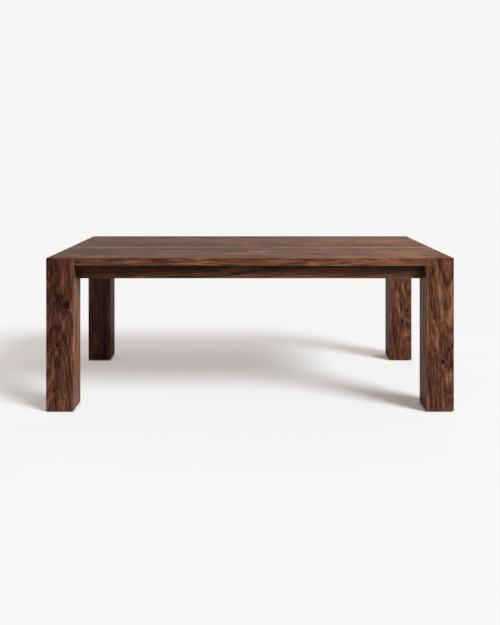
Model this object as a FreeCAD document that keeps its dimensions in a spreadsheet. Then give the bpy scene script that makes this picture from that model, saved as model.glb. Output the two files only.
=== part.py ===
"""A parsons dining table in solid timber, as separate pieces. Millimetres, +Z up.

The origin is on the floor under the middle of the top, +X is to the right along the length and the front
faces -Y. The joinery repeats at the four corners, so it is drawn once in a corner frame, whose origin is
the outer corner of the table and whose X and Y run inwards along the two edges. All that is in it is the
same on both sides of its diagonal, so a quarter turn carries it from one corner to the next.
"""

import FreeCAD, Part
import os
import re
from math import cos, radians, sin, sqrt

import Sketcher
from FreeCAD import Placement, Rotation, Vector

# alias, value in millimetres, what it is
SIZES = [
    # overall
    ("table_length", 2000, "over the outer faces of the legs"),
    ("table_width", 1000, "over the outer faces of the legs"),
    ("table_height", 755, "from the floor to the top of the table, feet screwed home"),
    ("foot_gap", 5, "from the floor to the ends of the legs, feet screwed home"),
    # legs
    ("leg_side", 135, "side of the square posts"),
    ("leg_bevel", 1.5, "on the long edges and the outer upper edges of the posts"),
    ("leg_end_bevel", 2, "round the lower ends of the posts"),
    ("bolt_flat", 30, "how far the flat for the hanger bolt cuts back each side of the inner corner"),
    # top
    ("top_thickness", 38, "of the boards"),
    ("top_bevel", 1.5, "on the upper edges of the top"),
    ("under_bevel", 1, "on the lower edges of the top"),
    ("notch_gap", 0.5, "between the posts and the notches of the top"),
    # aprons
    ("apron_height", 70, "from the underside of the top"),
    ("apron_thickness", 25, "of all four"),
    ("apron_setback", 50, "from the outer faces of the legs"),
    ("apron_bevel", 1.5, "on the lower edges of the aprons"),
    ("groove_drop", 12, "from the top of an apron to its groove"),
    ("groove_height", 7.6, "of the groove for the buttons"),
    ("groove_depth", 7, "of the groove for the buttons"),
    # corner blocks
    ("block_thickness", 32, "measured along the hanger bolt"),
    ("block_height", 58, "centred on the aprons"),
    ("block_gap", 3, "between a block and its leg, so that the bolt pulls the joint tight"),
    ("block_bevel", 3, "on the lower edges of the two slanting faces"),
    # hanger bolts, washers and nuts
    ("bolt_diameter", 10, "of the hanger bolts"),
    ("bolt_in_leg", 55, "length of the wood thread"),
    ("bolt_past_nut", 6, "length that stands out of the nut"),
    ("bolt_clearance", 0.5, "radial, through the block and the washer"),
    ("thread_gap", 0.05, "radial, round a thread or a sleeve in its hole"),
    ("hole_spare", 2, "how much deeper a blind hole is than what it holds"),
    ("overcut", 1, "how far a cutter runs past the face that it starts from"),
    ("washer_side", 30, "of the square plate"),
    ("washer_thickness", 2.5, "of the plate"),
    ("nut_width", 17, "across the flats"),
    ("nut_height", 8, "of the hexagon nuts"),
    # cross rails
    ("rail_offset", 300, "from the middle of the table to each rail"),
    ("rail_width", 70, "along the table"),
    ("rail_height", 44, "from the underside of the top"),
    ("rail_bevel", 3, "on the lower edges"),
    ("tenon_length", 11, "stub tenon let into the apron"),
    ("tenon_width", 46, "along the table"),
    ("tenon_height", 16, "of the stub tenon"),
    ("tenon_rise", 5, "from the underside of the rail"),
    ("tenon_gap", 0.2, "round a tenon in its mortise"),
    # buttons
    ("button_inner", 140, "from the middle of the table to the nearer buttons"),
    ("button_end_room", 60, "from the end of a corner block to the nearest button"),
    ("button_length", 36, "from the face of the apron"),
    ("button_width", 30, "along the apron"),
    ("button_tongue", 6, "length of the tongue in the groove"),
    ("tongue_thickness", 7, "of the tongue in the groove"),
    ("button_gap", 0.6, "between a button's body and the apron"),
    ("button_bevel", 4, "on the free end"),
    # levelling feet
    ("well_diameter", 46, "of the recess in the end of a leg"),
    ("well_depth", 7, "of the recess in the end of a leg"),
    ("sleeve_diameter", 14, "of the threaded sleeve in the leg"),
    ("sleeve_length", 26, "of the threaded sleeve in the leg"),
    ("stem_diameter", 8, "of the levelling screw"),
    ("stem_past_sleeve", 2, "how far the stem stands out above its sleeve"),
    ("stem_head_diameter", 13, "inside the pad"),
    ("stem_head_height", 2.6, "inside the pad"),
    ("cup_width", 36, "across the flats of the hexagonal cup over the pad"),
    ("cup_rise", 1.5, "from the floor to the cup"),
    ("seat_gap", 0.3, "between faces that turn or lift apart"),
    ("pad_diameter", 32, "of the foot pad"),
    ("pad_height", 7.4, "of the foot pad"),
    ("pad_floor", 2.2, "under the head of the stem"),
]

BOARDS = 5
CORNERS = ["front_left", "front_right", "back_right", "back_left"]
EAST = [-1, 1, 1, -1]
NORTH = [-1, -1, 1, 1]
TOLERANCE = 1e-4

doc = FreeCAD.newDocument("ParsonsTable")
sheet = doc.addObject("Spreadsheet::Sheet", "Sizes")
for row, (alias, value, note) in enumerate(SIZES, start=1):
    sheet.set(f"A{row}", alias)
    sheet.set(f"B{row}", str(value))
    sheet.set(f"C{row}", note)
    sheet.setAlias(f"B{row}", alias)
doc.recompute()
nodes = []


# ---------------------------------------------------------------- helpers


def sized(expression):
    """The expression with every alias named in full, as FreeCAD wants it outside the sheet."""
    return re.sub(r"[a-z]\w*", r"Sizes.\g<0>", expression)


def size(expression):
    """The value of an expression, for tests and for where a sketch starts from."""
    return float(sheet.evalExpression(sized(expression)))


def bind(thing, **expressions):
    for name, expression in expressions.items():
        thing.setExpression(name.replace("__", "."), sized(expression))


def place(thing, x="0", y="0", z="0", rotation=None):
    """Puts a thing at bound coordinates, turned by a rotation."""
    thing.Placement = Placement(Vector(), rotation or Rotation())
    bind(thing, Placement__Base__x=x, Placement__Base__y=y, Placement__Base__z=z)
    return thing


def about_z(degrees):
    return Rotation(Vector(0, 0, 1), degrees)


def node(thing, label):
    thing.Label = label
    nodes.append(thing)
    return thing


def body(name):
    return doc.addObject("PartDesign::Body", name)


def sketch_on(owner, role, offset="0"):
    """A sketch on one of a body's origin planes, moved along the plane's normal by a bound offset."""
    plane = next(f for f in owner.Origin.OriginFeatures if f.Role == role)
    drawn = owner.newObject("Sketcher::SketchObject", owner.Name + "_sketch")
    drawn.AttachmentSupport = [(plane, "")]
    drawn.MapMode = "FlatFace"
    bind(drawn, AttachmentOffset__Base__z=offset)
    return drawn


def hold(drawn, kind, value, *where):
    """A dimension of a sketch, bound to an expression."""
    held = drawn.addConstraint(Sketcher.Constraint(kind, *where, size(value)))
    drawn.setExpression(f"Constraints[{held}]", sized(value))


def hold_point(drawn, geometry, vertex, x, y):
    hold(drawn, "DistanceX", x, -1, 1, geometry, vertex)
    hold(drawn, "DistanceY", y, -1, 1, geometry, vertex)


def draw_outline(drawn, points):
    """A closed outline through points given as pairs of expressions. It is drawn before any circle."""
    count = len(points)
    corners = [Vector(size(x), size(y), 0) for x, y in points]
    for i in range(count):
        drawn.addGeometry(Part.LineSegment(corners[i], corners[(i + 1) % count]), False)
    for i in range(count):
        drawn.addConstraint(Sketcher.Constraint("Coincident", i, 2, (i + 1) % count, 1))
    for i, (x, y) in enumerate(points):
        hold_point(drawn, i, 1, x, y)
    return drawn


def draw_circle(drawn, diameter, x="0", y="0"):
    centre = Vector(size(x), size(y), 0)
    circle = Part.Circle(centre, Vector(0, 0, 1), size(diameter) / 2)
    ring = drawn.addGeometry(circle, False)
    hold_point(drawn, ring, 3, x, y)
    hold(drawn, "Diameter", diameter, ring)
    return drawn


def rectangle(x0, y0, x1, y1):
    return [(x0, y0), (x1, y0), (x1, y1), (x0, y1)]


def hexagon(width):
    """The corners of a hexagon about the origin, from its width across the flats."""
    corners = []
    for i in range(6):
        angle = radians(60 * i)
        shares = (cos(angle) / sqrt(3), sin(angle) / sqrt(3))
        corners.append(tuple(f"{share:.9f} * {width}" for share in shares))
    return corners


def pad(owner, drawn, length):
    added = owner.newObject("PartDesign::Pad", owner.Name + "_pad")
    added.Profile = drawn
    bind(added, Length=length)
    return added


def pocket(owner, drawn, length):
    """Cuts a sketch's outline along the sketch's normal, and makes sure that it cut something."""
    doc.recompute()
    before = owner.Shape.Volume
    cut = owner.newObject("PartDesign::Pocket", owner.Name + "_pocket")
    cut.Profile = drawn
    cut.Reversed = True
    bind(cut, Length=length)
    doc.recompute()
    if not owner.Shape.Volume < before:
        raise RuntimeError(cut.Name + " cuts nothing")
    return cut


def turned(name, outline):
    """A body turned about its Z axis from an outline given as pairs of radius and height."""
    owner = body(name)
    spun = owner.newObject("PartDesign::Revolution", name + "_turned")
    spun.Profile = draw_outline(sketch_on(owner, "XZ_Plane"), outline)
    spun.ReferenceAxis = (spun.Profile[0], ["V_Axis"])
    spun.Angle = 360
    return owner


def bevel(owner, amount, test):
    """Bevels the straight edges of a body whose two ends pass a test."""
    doc.recompute()
    tip = owner.Tip
    chosen = []
    for i, edge in enumerate(tip.Shape.Edges, start=1):
        if isinstance(edge.Curve, Part.Line) and test(*[v.Point for v in edge.Vertexes]):
            chosen.append(f"Edge{i}")
    eased = owner.newObject("PartDesign::Chamfer", owner.Name + "_bevel")
    eased.Base = (tip, chosen)
    bind(eased, Size=amount)
    return eased


def near(a, b):
    return abs(a - b) < TOLERANCE


def upright(a, b):
    return near(a.x, b.x) and near(a.y, b.y)


def level_at(height, a, b):
    return near(a.z, height) and near(b.z, height)


def copies(name, master, spots):
    """A compound of links to one thing, each at its own (x, y, z, rotation)."""
    members = []
    for i, spot in enumerate(spots):
        member = doc.addObject("App::Link", f"{name}_{i}")
        member.LinkedObject = master
        member.LinkTransform = True
        members.append(place(member, *spot))
    held = doc.addObject("Part::Compound", name)
    held.Links = members
    return held


def corner_spot(i):
    """Where the corner frame of corner i lies in the table's frame."""
    return f"{EAST[i]} * table_length / 2", f"{NORTH[i]} * table_width / 2", "0", about_z(90 * i)


def at_corners(name, master):
    """One compound with a thing drawn in the corner frame at all four corners."""
    return copies(name, master, [corner_spot(i) for i in range(4)])


def drilled(label, blank, tool):
    """The node that is left of a blank once a cutter has been through it."""
    left = doc.addObject("Part::Cut", label + "_drilled")
    left.Base = blank
    left.Tool = tool
    return node(left, label)


# ---------------------------------------------------------------- lines that several pieces share

TOP_UNDERSIDE = "(table_height - top_thickness)"
APRON_BOTTOM = f"({TOP_UNDERSIDE} - apron_height)"
APRON_MIDDLE = f"({TOP_UNDERSIDE} - apron_height / 2)"
APRON_INSIDE = "(apron_setback + apron_thickness)"
NOTCH = "(leg_side + notch_gap)"
WELL_ROOF = "(foot_gap + well_depth)"
# Distances along a corner's diagonal, from the outer corner of the table.
ROOT_TWO = str(sqrt(2))
FLAT_FACE = f"((2 * leg_side - bolt_flat) / {ROOT_TWO})"
BLOCK_FACE = f"({FLAT_FACE} + block_gap)"
BLOCK_BACK = f"({BLOCK_FACE} + block_thickness)"
WASHER_BACK = f"({BLOCK_BACK} + washer_thickness)"
# Where the front and the back face of a block meet the inside of an apron, from the outer corner.
BLOCK_NEAR = f"({BLOCK_FACE} * {ROOT_TWO} - {APRON_INSIDE})"
BLOCK_FAR = f"({BLOCK_BACK} * {ROOT_TWO} - {APRON_INSIDE})"


# ---------------------------------------------------------------- hanger bolts, washers and nuts

BOLT_START = f"({FLAT_FACE} - bolt_in_leg)"
BOLT_END = f"({WASHER_BACK} + nut_height + bolt_past_nut)"


def on_diagonal(name, thing, distance):
    """In the corner frame: a thing drawn along +Z, laid along the diagonal at mid-height of the aprons."""
    across = f"{distance} / {ROOT_TWO}"
    along_x = Rotation(Vector(0, 1, 0), 90)
    return copies(name, thing, [(across, across, APRON_MIDDLE, about_z(45) * along_x)])


def rod(name, diameter, length):
    made = doc.addObject("Part::Cylinder", name)
    bind(made, Radius=f"({diameter}) / 2", Height=length)
    return made


def washer():
    """A square plate, so that it can't sink into the block."""
    plate = body("washer")
    half = "washer_side / 2"
    drawn = draw_outline(sketch_on(plate, "XY_Plane"), rectangle(f"-{half}", f"-{half}", half, half))
    draw_circle(drawn, "bolt_diameter + 2 * bolt_clearance")
    pad(plate, drawn, "washer_thickness")
    return plate


def nut():
    block = body("nut")
    drawn = draw_outline(sketch_on(block, "XY_Plane"), hexagon("nut_width"))
    draw_circle(drawn, "bolt_diameter + 2 * thread_gap")
    pad(block, drawn, "nut_height")
    return block


bolt = rod("hanger_bolt", "bolt_diameter", f"{BOLT_END} - {BOLT_START}")
node(at_corners("bolts", on_diagonal("bolt_in_corner", bolt, BOLT_START)), "hanger_bolts")
node(at_corners("washers", on_diagonal("washer_in_corner", washer(), BLOCK_BACK)), "bolt_washers")
node(at_corners("nuts", on_diagonal("nut_in_corner", nut(), WASHER_BACK)), "bolt_nuts")
leg_drill = on_diagonal(
    "leg_drill",
    rod("leg_drill_bit", "bolt_diameter + 2 * thread_gap", "bolt_in_leg + hole_spare + overcut"),
    f"({BOLT_START} - hole_spare)",
)
block_drill = on_diagonal(
    "block_drill",
    rod("block_drill_bit", "bolt_diameter + 2 * bolt_clearance", "block_thickness + 2 * overcut"),
    f"({BLOCK_FACE} - overcut)",
)


# ---------------------------------------------------------------- legs


def leg(i):
    """A square post. In the corner frame its outer corner is at the origin.

    It runs past the top in a notch, so only its two outer upper edges are eased. Between the aprons its
    inner corner is cut back to a flat, square to the diagonal, that the hanger bolt is screwed into.
    """
    post = body("post_" + CORNERS[i])
    plan = sketch_on(post, "XY_Plane", "foot_gap")
    draw_outline(plan, rectangle("0", "0", "leg_side", "leg_side"))
    pad(post, plan, "table_height - foot_gap")
    low, high = size("foot_gap"), size("table_height")

    def outer_top(a, b):
        outer = near(a.x, 0) and near(b.x, 0) or near(a.y, 0) and near(b.y, 0)
        return outer and level_at(high, a, b)

    bevel(post, "leg_bevel", lambda a, b: upright(a, b) or outer_top(a, b))
    bevel(post, "leg_end_bevel", lambda a, b: level_at(low, a, b))
    beyond = "(leg_side + overcut)"
    cut_back = "(leg_side - bolt_flat - overcut)"
    flat = [(cut_back, beyond), (beyond, cut_back), (beyond, beyond)]
    pocket(post, draw_outline(sketch_on(post, "XY_Plane", APRON_BOTTOM), flat), "apron_height")
    middle = "leg_side / 2"
    well = sketch_on(post, "XY_Plane", "foot_gap")
    pocket(post, draw_circle(well, "well_diameter", middle, middle), "well_depth")
    hole = sketch_on(post, "XY_Plane", WELL_ROOF)
    draw_circle(hole, "sleeve_diameter + 2 * thread_gap", middle, middle)
    pocket(post, hole, "sleeve_length + stem_past_sleeve + hole_spare")
    place(post, *corner_spot(i))
    return drilled("leg_" + CORNERS[i], post, copies(post.Name + "_bore", leg_drill, [corner_spot(i)]))


# ---------------------------------------------------------------- corner blocks


def corner_block(i):
    """A stout block with mitred ends that are glued to the insides of two aprons."""
    block = body("block_" + CORNERS[i])
    outline = [
        (APRON_INSIDE, BLOCK_NEAR),
        (APRON_INSIDE, BLOCK_FAR),
        (BLOCK_FAR, APRON_INSIDE),
        (BLOCK_NEAR, APRON_INSIDE),
    ]
    bottom = f"({APRON_MIDDLE} - block_height / 2)"
    pad(block, draw_outline(sketch_on(block, "XY_Plane", bottom), outline), "block_height")
    low = size(bottom)

    def slanting_low(a, b):
        return level_at(low, a, b) and near(a.x + a.y, b.x + b.y)

    bevel(block, "block_bevel", slanting_low)
    place(block, *corner_spot(i))
    bore = copies(block.Name + "_bore", block_drill, [corner_spot(i)])
    return drilled("corner_block_" + CORNERS[i], block, bore)


for corner in range(4):
    leg(corner)
    corner_block(corner)


# ---------------------------------------------------------------- cross rails

RAIL_CLEAR = f"(table_width - 2 * {APRON_INSIDE})"
RAIL_BOTTOM = f"({TOP_UNDERSIDE} - rail_height)"
OVER_TENONS = f"({RAIL_CLEAR} + 2 * tenon_length)"
RAIL_SIDES = {"left": "-rail_offset", "right": "rail_offset"}


def cross_rail(side):
    """A bar under the top, from the front apron to the back one, with a stub tenon at each end."""
    rail = body("rail_" + side)
    section = rectangle("-rail_width / 2", RAIL_BOTTOM, "rail_width / 2", TOP_UNDERSIDE)
    pad(rail, draw_outline(sketch_on(rail, "XZ_Plane", f"-{RAIL_CLEAR} / 2"), section), RAIL_CLEAR)
    low = size(RAIL_BOTTOM)
    bevel(rail, "rail_bevel", lambda a, b: level_at(low, a, b) and near(a.x, b.x))
    shoulder = f"({RAIL_BOTTOM} + tenon_rise)"
    tenon = rectangle("-tenon_width / 2", shoulder, "tenon_width / 2", f"{shoulder} + tenon_height")
    pad(rail, draw_outline(sketch_on(rail, "XZ_Plane", f"-{OVER_TENONS} / 2"), tenon), OVER_TENONS)
    return node(place(rail, RAIL_SIDES[side]), "cross_rail_" + side)


def mortise_cutters():
    """For each rail one bar through both long aprons, larger than the tenons by their gap all round."""
    bar = doc.addObject("Part::Box", "mortise_bar")
    bind(
        bar,
        Length="tenon_width + 2 * tenon_gap",
        Width=f"{OVER_TENONS} + 2 * tenon_gap",
        Height="tenon_height + 2 * tenon_gap",
    )
    place(
        bar,
        "-tenon_width / 2 - tenon_gap",
        f"-{OVER_TENONS} / 2 - tenon_gap",
        f"{RAIL_BOTTOM} + tenon_rise - tenon_gap",
    )
    return copies("mortise_cutters", bar, [(offset,) for offset in RAIL_SIDES.values()])


for rail_side in RAIL_SIDES:
    cross_rail(rail_side)


# ---------------------------------------------------------------- aprons


def apron(name, length, spot):
    """A board on edge, its outer face on the plane Y = 0 of its own frame, with a groove inside."""
    board = body(name)
    groove_top = f"({TOP_UNDERSIDE} - groove_drop)"
    groove_bottom = f"({groove_top} - groove_height)"
    groove_floor = "apron_thickness - groove_depth"
    section = [
        ("apron_bevel", APRON_BOTTOM),
        ("apron_thickness - apron_bevel", APRON_BOTTOM),
        ("apron_thickness", f"{APRON_BOTTOM} + apron_bevel"),
        ("apron_thickness", groove_bottom),
        (groove_floor, groove_bottom),
        (groove_floor, groove_top),
        ("apron_thickness", groove_top),
        ("apron_thickness", TOP_UNDERSIDE),
        ("0", TOP_UNDERSIDE),
        ("0", f"{APRON_BOTTOM} + apron_bevel"),
    ]
    pad(board, draw_outline(sketch_on(board, "YZ_Plane", f"-{length} / 2"), section), length)
    return place(board, *spot)


LONG = "(table_length - 2 * leg_side)"
SHORT = "(table_width - 2 * leg_side)"
FACE_X = "(table_length / 2 - apron_setback)"
FACE_Y = "(table_width / 2 - apron_setback)"
mortises = mortise_cutters()
drilled("apron_front", apron("front_board", LONG, ("0", f"-{FACE_Y}", "0", about_z(0))), mortises)
drilled("apron_back", apron("back_board", LONG, ("0", FACE_Y, "0", about_z(180))), mortises)
node(apron("left_board", SHORT, (f"-{FACE_X}", "0", "0", about_z(-90))), "apron_left")
node(apron("right_board", SHORT, (FACE_X, "0", "0", about_z(90))), "apron_right")


# ---------------------------------------------------------------- buttons


def button():
    """Its tongue reaches back along -X into the groove, and its upper face is on the plane Z = 0."""
    block = body("button")
    height = "(groove_drop + tongue_thickness)"
    outline = [
        ("-button_tongue", "-groove_drop"),
        ("button_gap", "-groove_drop"),
        ("button_gap", "0"),
        ("button_length", "0"),
        ("button_length", f"button_bevel - {height}"),
        ("button_length - button_bevel", f"-{height}"),
        ("-button_tongue", f"-{height}"),
    ]
    pad(block, draw_outline(sketch_on(block, "XZ_Plane", "-button_width / 2"), outline), "button_width")
    return block


def button_spots():
    """Along the aprons, each turned so that its tongue points at the apron."""
    inside_x = f"(table_length / 2 - {APRON_INSIDE})"
    inside_y = f"(table_width / 2 - {APRON_INSIDE})"
    outer_x = f"(table_length / 2 - {BLOCK_FAR} - button_end_room)"
    outer_y = f"(table_width / 2 - {BLOCK_FAR} - button_end_room)"
    spots = []
    for sign in ("", "-"):
        for x in (outer_x, "button_inner"):
            spots.append((sign + x, f"-{inside_y}", TOP_UNDERSIDE, about_z(90)))
            spots.append((sign + x, inside_y, TOP_UNDERSIDE, about_z(-90)))
        spots.append((f"-{inside_x}", sign + outer_y, TOP_UNDERSIDE, about_z(0)))
        spots.append((inside_x, sign + outer_y, TOP_UNDERSIDE, about_z(180)))
    return spots


node(copies("buttons", button(), button_spots()), "top_buttons")


# ---------------------------------------------------------------- top boards

BOARD = f"(table_width / {BOARDS})"


def edge_board_outline():
    """The front board, which takes the two front legs in notches at its ends."""
    end, side = "table_length / 2", "-table_width / 2"
    notch_end, notch_side = f"({end} - {NOTCH})", f"{side} + {NOTCH}"
    return [
        (f"-{notch_end}", side),
        (notch_end, side),
        (notch_end, notch_side),
        (end, notch_side),
        (end, f"{side} + {BOARD}"),
        (f"-{end}", f"{side} + {BOARD}"),
        (f"-{end}", notch_side),
        (f"-{notch_end}", notch_side),
    ]


def top_board(i):
    """Board i from the front. The last is the front one turned round."""
    board = body(f"board_{i + 1}")
    if i in (0, BOARDS - 1):
        outline = edge_board_outline()
    else:
        edge = f"{i} * {BOARD} - table_width / 2"
        outline = rectangle("-table_length / 2", edge, "table_length / 2", f"{edge} + {BOARD}")
    pad(board, draw_outline(sketch_on(board, "XY_Plane", TOP_UNDERSIDE), outline), "top_thickness")
    low, high = size(TOP_UNDERSIDE), size("table_height")
    end, side = size("table_length / 2"), size("table_width / 2")

    def outer(a, b):
        on_end = near(abs(a.x), end) and near(a.x, b.x)
        return on_end or near(a.y, -side) and near(b.y, -side)

    bevel(board, "top_bevel", lambda a, b: level_at(high, a, b) and outer(a, b))
    bevel(board, "under_bevel", lambda a, b: level_at(low, a, b) and outer(a, b))
    place(board, rotation=about_z(180 if i == BOARDS - 1 else 0))
    return node(board, f"top_board_{i + 1}")


for number in range(BOARDS):
    top_board(number)


# ---------------------------------------------------------------- levelling feet


def leg_axis(i):
    """Where the middle of the leg at corner i is."""
    return f"{EAST[i]} * (table_length - leg_side) / 2", f"{NORTH[i]} * (table_width - leg_side) / 2"


def levelling_sleeve():
    """A threaded sleeve, flush with the roof of the well in the leg."""
    tube = body("sleeve")
    drawn = draw_circle(sketch_on(tube, "XY_Plane", WELL_ROOF), "sleeve_diameter")
    draw_circle(drawn, "stem_diameter + 2 * thread_gap")
    pad(tube, drawn, "sleeve_length")
    return tube


def foot_pad(i):
    """A low round pad with a socket for the head of the stem, its sole on the plane Z = 0."""
    rim = "pad_diameter / 2"
    hole = "stem_diameter / 2 + thread_gap"
    socket = "stem_head_diameter / 2 + seat_gap"
    socket_roof = "pad_floor + stem_head_height + 2 * seat_gap"
    outline = [
        ("0", "0"),
        (rim, "0"),
        (rim, "pad_height"),
        (hole, "pad_height"),
        (hole, socket_roof),
        (socket, socket_roof),
        (socket, "pad_floor"),
        ("0", "pad_floor"),
    ]
    return node(place(turned("pad_" + CORNERS[i], outline), *leg_axis(i)), "foot_pad_" + CORNERS[i])


def foot_stem(i):
    """The levelling screw: a head that turns in the pad, a hexagonal cup over the pad, and the thread."""
    radius = "stem_diameter / 2"
    head = "stem_head_diameter / 2"
    head_bottom = "pad_floor + seat_gap"
    head_top = f"{head_bottom} + stem_head_height"
    end = f"{WELL_ROOF} + sleeve_length + stem_past_sleeve"
    outline = [
        ("0", head_bottom),
        (head, head_bottom),
        (head, head_top),
        (radius, head_top),
        (radius, end),
        ("0", end),
    ]
    stem = turned("stem_" + CORNERS[i], outline)
    cup_inside = "(pad_height + seat_gap)"
    plate = draw_outline(sketch_on(stem, "XY_Plane", cup_inside), hexagon("cup_width"))
    pad(stem, plate, f"{WELL_ROOF} - seat_gap - {cup_inside}")
    wall = draw_outline(sketch_on(stem, "XY_Plane", "cup_rise"), hexagon("cup_width"))
    draw_circle(wall, "pad_diameter + 2 * seat_gap")
    pad(stem, wall, f"{cup_inside} - cup_rise")
    return node(place(stem, *leg_axis(i)), "foot_stem_" + CORNERS[i])


node(copies("sleeves", levelling_sleeve(), [leg_axis(i) for i in range(4)]), "levelling_sleeves")
for corner in range(4):
    foot_pad(corner)
    foot_stem(corner)


# ---------------------------------------------------------------- check and write

doc.recompute()
for thing in doc.Objects:
    if {"Invalid", "Error"} & set(thing.State):
        raise RuntimeError(f"{thing.Name} is {thing.State}")
os.makedirs("parts", exist_ok=True)
for thing in nodes:
    shape = thing.Shape
    if shape.isNull() or not shape.isValid() or not shape.Solids:
        raise RuntimeError(thing.Label + " has no valid solid")
    shape.exportStep(f"parts/{thing.Label}.step")
print(len(nodes), "nodes")
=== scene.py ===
"""A parsons dining table in walnut, on a pale floor in soft light.

The timbers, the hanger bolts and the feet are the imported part's own nodes. This script adds the
wood screws under the top, eases the edges, and gives each piece its material. Lengths are in metres.
"""

import math
from dataclasses import dataclass

import bmesh
import bpy
from mathutils import Matrix, Vector


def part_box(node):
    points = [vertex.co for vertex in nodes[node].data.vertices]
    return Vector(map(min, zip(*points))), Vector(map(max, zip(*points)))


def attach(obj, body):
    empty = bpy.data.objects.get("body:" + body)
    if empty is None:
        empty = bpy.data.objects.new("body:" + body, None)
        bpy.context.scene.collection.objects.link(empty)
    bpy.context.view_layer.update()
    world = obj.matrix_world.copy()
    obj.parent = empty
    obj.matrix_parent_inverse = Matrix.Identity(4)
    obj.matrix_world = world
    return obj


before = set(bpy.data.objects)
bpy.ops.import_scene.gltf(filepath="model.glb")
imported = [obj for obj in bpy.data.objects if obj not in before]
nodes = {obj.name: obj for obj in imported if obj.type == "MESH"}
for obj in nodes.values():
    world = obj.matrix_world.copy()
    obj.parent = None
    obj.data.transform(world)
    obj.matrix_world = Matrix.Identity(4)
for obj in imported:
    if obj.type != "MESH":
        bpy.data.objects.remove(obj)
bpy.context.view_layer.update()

LEG_SIDE = 0.135
LEG_X, LEG_Y = 0.9325, 0.4325
TOP_UNDERSIDE = 0.717


# ---------------------------------------------------------------- node graphs


class Graph:
    """The nodes of a material or of the world. Methods add one or a few, and return an output."""

    def __init__(self, owner):
        self.owner = owner
        owner.use_nodes = True
        self.tree = owner.node_tree
        self.tree.nodes.clear()

    def node(self, kind, settings, inputs, output=0):
        """Adds a node. Its inputs are given as values, or as outputs to link them to."""
        made = self.tree.nodes.new(kind)
        for key, value in settings.items():
            setattr(made, key, value)
        for key, value in inputs.items():
            if isinstance(value, bpy.types.NodeSocket):
                self.tree.links.new(value, made.inputs[key])
            else:
                made.inputs[key].default_value = value
        return made.outputs[output]

    def math(self, operation, a, b=0.0, c=0.0):
        return self.node("ShaderNodeMath", {"operation": operation}, {0: a, 1: b, 2: c})

    def vector(self, operation, a, b=(0.0, 0.0, 0.0), c=(0.0, 0.0, 0.0)):
        gives_a_number = operation in ("LENGTH", "DOT_PRODUCT")
        output = 1 if gives_a_number else 0
        return self.node("ShaderNodeVectorMath", {"operation": operation}, {0: a, 1: b, 2: c}, output)

    def place(self):
        """Where the surface is, in metres in the table's frame."""
        return self.node("ShaderNodeTexCoord", {}, {}, "Object")

    def camera_ray(self):
        """1 for what the camera sees, 0 for the light that one surface throws on another."""
        return self.node("ShaderNodeLightPath", {}, {}, "Is Camera Ray")

    def split(self, vector):
        made = self.tree.nodes.new("ShaderNodeSeparateXYZ")
        self.tree.links.new(vector, made.inputs[0])
        return made.outputs[0], made.outputs[1], made.outputs[2]

    def join(self, x, y, z):
        return self.node("ShaderNodeCombineXYZ", {}, {0: x, 1: y, 2: z})

    def noise(self, at, stretch, detail, roughness, output=0):
        """Noise with its own scale along each axis, in features per metre. Output 1 is a colour."""
        scaled = self.vector("MULTIPLY", at, stretch)
        inputs = {"Vector": scaled, "Scale": 1.0, "Detail": detail, "Roughness": roughness}
        return self.node("ShaderNodeTexNoise", {}, inputs, output)

    def noise_along(self, value, scale, detail, roughness):
        inputs = {"W": value, "Scale": scale, "Detail": detail, "Roughness": roughness}
        return self.node("ShaderNodeTexNoise", {"noise_dimensions": "1D"}, inputs)

    def spread(self, value, amount, middle=0.5):
        """The value's distance from its middle, times amount."""
        return self.math("MULTIPLY", self.math("SUBTRACT", value, middle), amount)

    def total(self, *values):
        result = values[0]
        for value in values[1:]:
            result = self.math("ADD", result, value)
        return result

    def step(self, value, start, end, low=0.0, high=1.0):
        """A smooth step from low at start to high at end."""
        inputs = {0: value, 1: start, 2: end, 3: low, 4: high}
        return self.node("ShaderNodeMapRange", {"interpolation_type": "SMOOTHSTEP"}, inputs)

    def bell(self, at, centre, size, tilt=0.0):
        """1 at the centre, falling off smoothly over size along each axis.

        Tilt leans its w axis towards u.
        """
        away = self.vector("SUBTRACT", at, centre)
        if tilt:
            lean = self.math("MULTIPLY", self.split(away)[2], tilt)
            away = self.vector("SUBTRACT", away, self.join(lean, 0.0, 0.0))
        scaled = self.vector("DIVIDE", away, size)
        return self.math("POWER", 1 / math.e, self.vector("DOT_PRODUCT", scaled, scaled))

    def mix(self, amount, a, b, blend="MIX"):
        settings = {"data_type": "RGBA", "blend_type": blend}
        return self.node("ShaderNodeMix", settings, {0: amount, 6: a, 7: b}, 2)

    def ramp(self, at, stops):
        made = self.tree.nodes.new("ShaderNodeValToRGB")
        elements = made.color_ramp.elements
        while len(elements) < len(stops):
            elements.new(0.5)
        for element, (position, colour) in zip(elements, stops):
            element.position = position
            element.color = rgb(*colour)
        self.tree.links.new(at, made.inputs[0])
        return made.outputs[0]

    def bump(self, height, distance):
        return self.node("ShaderNodeBump", {}, {"Distance": distance, "Height": height})

    def edge(self, at, centre, half, reach, core):
        """1 within core of the edges of a box round centre, 0 further from them than reach.

        On the box's surface, the middle one of the distances to its faces is the one to its edge.
        """
        away = self.vector("ABSOLUTE", self.vector("SUBTRACT", at, centre))
        a, b, c = self.split(self.vector("SUBTRACT", half, away))
        nearer, further = self.math("MINIMUM", a, b), self.math("MAXIMUM", a, b)
        to_edge = self.math("MAXIMUM", nearer, self.math("MINIMUM", further, c))
        return self.step(to_edge, reach, core)

    def principled(self, **inputs):
        """Ends in a Principled shader, and returns the material. Underscores stand for spaces."""
        named = {key.replace("_", " "): value for key, value in inputs.items()}
        self.end_in(self.node("ShaderNodeBsdfPrincipled", {}, named))
        return self.owner

    def end_in(self, shader):
        """Ends the graph in a shader."""
        kind = "World" if isinstance(self.owner, bpy.types.World) else "Material"
        out = self.tree.nodes.new("ShaderNodeOutput" + kind)
        self.tree.links.new(shader, out.inputs["Surface"])


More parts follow.
